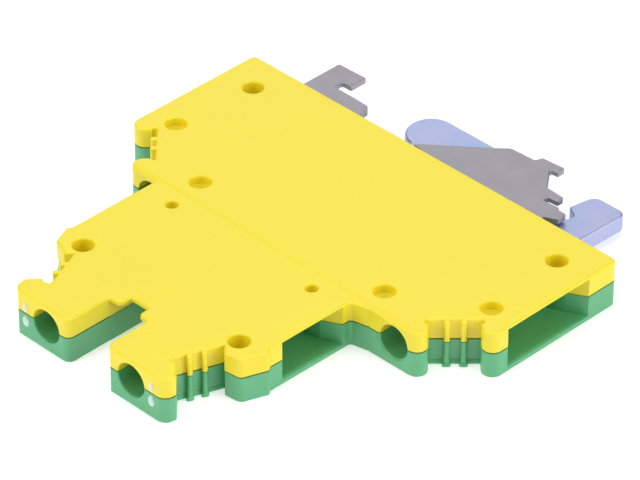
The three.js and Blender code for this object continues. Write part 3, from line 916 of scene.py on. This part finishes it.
stand_for(yellow_half(), "housing", "yellow_plastic", YELLOW, "housing_yellow_half")
stand_for(green_half(), "housing", "green_plastic", GREEN, "housing_green_half")
for side, u in zip(("left", "right"), both_ways(UPPER, UPPER_SCREW + 3.4)):
    stand_for(pip(f"pip_yellow_{side}", u, 4.25), "housing", "yellow_plastic", YELLOW_PIP)
    stand_for(pip(f"pip_green_{side}", u, 2.3), "housing", "green_plastic", GREEN_PIP)

# ------------------------------------------------------------------ rail foot

HOOK_PLATE = [
    [6.6, -8.15, 0.25],
    [11.2, -8.3, 0.25],
    [11.2, -5.6, 0.15],
    [9.75, -5.6, 0.25],
    [9.75, -4.25, 0.25],
    [15.5, -4.1, 0.3],
    [16.3, -3.3, 0.3],
    [16.3, 2.0, 0],
    [19.8, 2.0, 0.5],
    [19.8, 11.6, 0.5],
    [14.6, 11.6, 0.5],
    [14.6, 5.4, 0.3],
    [6.6, 4.4, 0.5],
]

TOOTHED_PLATE = [
    [24.9, -2.15, 0.25],
    [32.6, -8.6, 0.5],
    [34.0, -9.9, 0.5],
    [37.7, -10.1, 0.4],
    [38.0, -11.1, 0.3],
    [41.4, -11.38, 0.25],
    [41.4, -10.1, 0.2],
    [40.2, -10.0, 0.3],
    [42.6, -6.95, 0.25],
    [45.4, -6.8, 0.3],
    [45.4, -5.7, 0.2],
    [44.0, -5.6, 0.2],
    [44.0, -4.75, 0.2],
    [46.3, -4.9, 0.1],
    [46.5, -4.6, 0.15],
    [47.9, -4.5, 0.3],
    [47.9, -3.1, 0.3],
    [46.1, -2.2, 0.4],
    [45.7, 11.6, 0.5],
    [40.2, 11.6, 0.5],
    [40.2, 4.8, 0.4],
    [30.6, 4.2, 0.5],
    [30.6, -1.3, 0.3],
]

JAW_OUTLINE = [
    [23.6, 5.0, 0.5],
    [34.2, 5.0, 0.5],
    [34.2, -2.0, 0.3],
    [51.5, -2.0, 0.8],
    [51.75, -10.85, 1.0],
    [46.75, -10.85, 1.4],
    [46.05, -7.1, 0.3],
    [47.7, -6.1, 0.3],
    [47.5, -4.9, 0.4],
    [45.9, -3.8, 0.4],
    [39.4, -3.7, 0.6],
    [39.4, -9.75, 0.8],
    [20.8, -9.75, 3.1],
    [20.8, -3.45, 3.1],
    [23.6, -3.4, 0.3],
]


def stamped(name, points, u):
    """Stamped sheet: rolled-over edges on top, a small burr-free chamfer underneath, one rivet hole."""
    plate = prism(name, points, PLATE_Z0, PLATE_Z1, [(0.0, 0.05), (0.05, 0.0)], rounding(0.14, 3))
    hole = turned_z("hole", u, RIVET_H, [(1.05, 2.0), (1.05, 6.0)])
    return finish_mesh(cut(plate, [hole]))


def jaw():
    """The clamping jaw, with a window for the nut and a groove for the foot screw."""
    body = prism("clamping_jaw_detailed", JAW_OUTLINE, JAW_Z0, JAW_Z1, rounding(0.12, 3), rounding(0.22, 4))
    room = block("nut_window", UPPER - NUT_HALF, UPPER + NUT_HALF, 0.15, 2.55, 0, 5)
    groove = block("groove", UPPER - 1.6, UPPER + 1.6, -3, 6, 2.05, 5)
    return finish_mesh(cut(body, [room, groove]))


hook_plate = stamped("hook_plate_detailed", HOOK_PLATE, RIVET_U)
stand_for(hook_plate, "housing", "nickel_sheet", SHEET, "rail_hook_plate")
toothed_plate = stamped("toothed_plate_detailed", TOOTHED_PLATE, LENGTH - RIVET_U)
stand_for(toothed_plate, "housing", "nickel_sheet", SHEET, "rail_toothed_plate")
stand_for(jaw(), "rail_jaw", "zinc_jaw", JAW, "rail_clamping_jaw")


# ------------------------------------------------------------------ screws and yokes


def screw(name, u, z, head_r, shaft_r, tip, neck, top):
    """A slotted screw with a chamfered cheese head and rounded thread crests on its shaft."""
    pitch, root, crest = 0.5, shaft_r - 0.12, shaft_r - 0.01
    profile = [(shaft_r - 0.35, tip), (root, tip + 0.2)]
    h = tip + 0.35
    while h < neck - 0.7:
        profile += [(root, h), (crest, h + pitch * 0.42)]
        profile += [(crest, h + pitch * 0.58), (root, h + pitch * 0.98)]
        h += pitch
    profile += [(root, neck - 0.25), (shaft_r, neck - 0.02), (head_r - 0.15, neck)]
    profile += [(head_r, neck + 0.15), (head_r, top - 0.3)]
    profile += [(head_r - 0.08, top - 0.1), (head_r - 0.28, top)]
    body = turned_h(name, u, z, profile, 40)
    slot = block("slot", u - 3, u + 3, top - 0.9, top + 1, z - 0.3, z + 0.3)
    return finish_mesh(cut(body, [slot]), 40)


def yoke(name, u, lift):
    """A clamping sleeve with rounded edges, a ribbed sill for the wire and a threaded top wall."""
    half, low, high, corner = 3.0, 7.6 + lift, 17.5 + lift, 0.3
    sill, sill_pitch, rib_half = 8.8 + lift, 1.2, 0.25
    section = [[u - half, low, corner], [u + half, low, corner]]
    section += [[u + half, high, corner], [u - half, high, corner]]
    body = prism(name, section, 1.2, 5.4, rounding(0.25, 3), rounding(0.25, 3))
    window = block("window", u - 4, u + 4, sill, 15.3 + lift, 1.8, 4.8)
    bore = [(1.5, 14 + lift), (1.5, 17.3 + lift), (1.7, high), (1.7, 19 + lift)]
    thread = turned_h("thread", u, SCREW_Z, bore)
    ribs = []
    for k in (-2, -1, 0, 1, 2):
        left, right = u + k * sill_pitch - rib_half, u + k * sill_pitch + rib_half
        rib = [(left, 1.0), (right, 1.0), (right, 5.6), (left, 5.6)]
        ribs.append(strip("rib", rib, 8.62 + lift, 9.2 + lift))
    return finish_mesh(cut(body, [window, thread, *ribs]))


for place, (u, lift, _) in STATIONS.items():
    fastener = screw(f"slotted_screw_{place}", u, SCREW_Z, 1.9, 1.25, 14.9 + lift, 21.6 + lift, 23.6 + lift)
    stand_for(fastener, f"screw_{place}", "zinc_screw", STEEL, f"clamp_screw_{place}")
    sleeve = yoke(f"sleeve_{place}", u, lift)
    stand_for(sleeve, f"yoke_{place}", "zinc_screw", STEEL, f"clamp_yoke_{place}")

driver_screw = screw("slotted_foot_screw", UPPER, FOOT_Z, 1.8, 1.3, -0.5, 8.6, 10.6)
stand_for(driver_screw, "foot_screw", "zinc_screw", STEEL, "foot_screw")

# ------------------------------------------------------------------ CAD nodes that stay

for node, material in (
    ("lower_current_bar", COPPER),
    ("upper_current_bar", COPPER),
    ("earth_link_strap", COPPER),
    ("rivet_bush_left", COPPER),
    ("rivet_bush_right", COPPER),
    ("earth_rivet_left", STEEL),
    ("earth_rivet_right", STEEL),
    ("foot_nut", STEEL),
):
    dress(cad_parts[node], material)

# ------------------------------------------------------------------ floor, light and camera


def make_floor():
    """A wide plane just below the block's underside, in metres."""
    mesh = bpy.data.meshes.new("floor")
    far = 2.0
    mesh.from_pydata([(-far, -far, 0), (far, -far, 0), (far, far, 0), (-far, far, 0)], [], [(0, 1, 2, 3)])
    floor = bpy.data.objects.new("floor", mesh)
    floor.location.z = cad_low.z - 0.00002
    bpy.context.scene.collection.objects.link(floor)
    dress(floor, floor_surface("pale_floor"))


def area_light(name, place, size, power):
    """A round soft light that points at the origin. Places and sizes are in metres."""
    data = bpy.data.lights.new(name, "AREA")
    data.shape = "DISK"
    data.size = size
    data.energy = power
    light = bpy.data.objects.new(name, data)
    light.location = place
    light.rotation_mode = "QUATERNION"
    light.rotation_quaternion = (Vector(place) * -1).to_track_quat("-Z", "Y")
    bpy.context.scene.collection.objects.link(light)


def make_light():
    """A soft studio: a dim white world, a key light above and three softer lights around."""
    world = bpy.data.worlds.new("studio")
    world.use_nodes = True
    back = world.node_tree.nodes["Background"]
    back.inputs["Color"].default_value = (1.0, 1.0, 1.0, 1.0)
    back.inputs["Strength"].default_value = 0.26
    bpy.context.scene.world = world
    area_light("key", (0.0, -0.02, 0.45), 0.30, 0.84)
    area_light("right", (0.40, 0.12, 0.19), 0.26, 1.02)
    area_light("left", (-0.16, -0.40, 0.24), 0.26, 0.96)
    area_light("back", (-0.30, 0.30, 0.30), 0.35, 0.42)


# The camera's direction in degrees, its distance and its shifts in millimetres, and its lens.
AZIMUTH, ELEVATION, ROLL = 44.928, 35.938, 0.18
DISTANCE, SHIFT_RIGHT, SHIFT_UP = 530.57, 8.095, 0.643
SENSOR, LENS = 36.0, 255.515625


def make_camera():
    """A long lens that looks down at the arm side and the right end of the block."""
    azimuth, elevation, roll = (math.radians(angle) for angle in (AZIMUTH, ELEVATION, ROLL))
    target = Vector((-5.0, FRONT_Y - 25.0, 3.0))
    level = math.cos(elevation)
    back = Vector((math.sin(azimuth) * level, -math.cos(azimuth) * level, math.sin(elevation)))
    right = Vector((math.cos(azimuth), math.sin(azimuth), 0.0))
    up = back.cross(right)
    place = target + back * DISTANCE + right * SHIFT_RIGHT + up * SHIFT_UP
    turn = Matrix((right, up, back)).transposed() @ Matrix.Rotation(roll, 3, "Z")
    data = bpy.data.cameras.new("camera")
    data.sensor_width = SENSOR
    data.lens = LENS
    data.clip_start, data.clip_end = 0.05, 10.0
    camera = bpy.data.objects.new("camera", data)
    camera.matrix_world = Matrix.Translation(place * MM) @ turn.to_4x4()
    bpy.context.scene.collection.objects.link(camera)
    bpy.context.scene.camera = camera


make_floor()
make_light()
make_camera()
bpy.context.scene.view_settings.view_transform = "Standard"
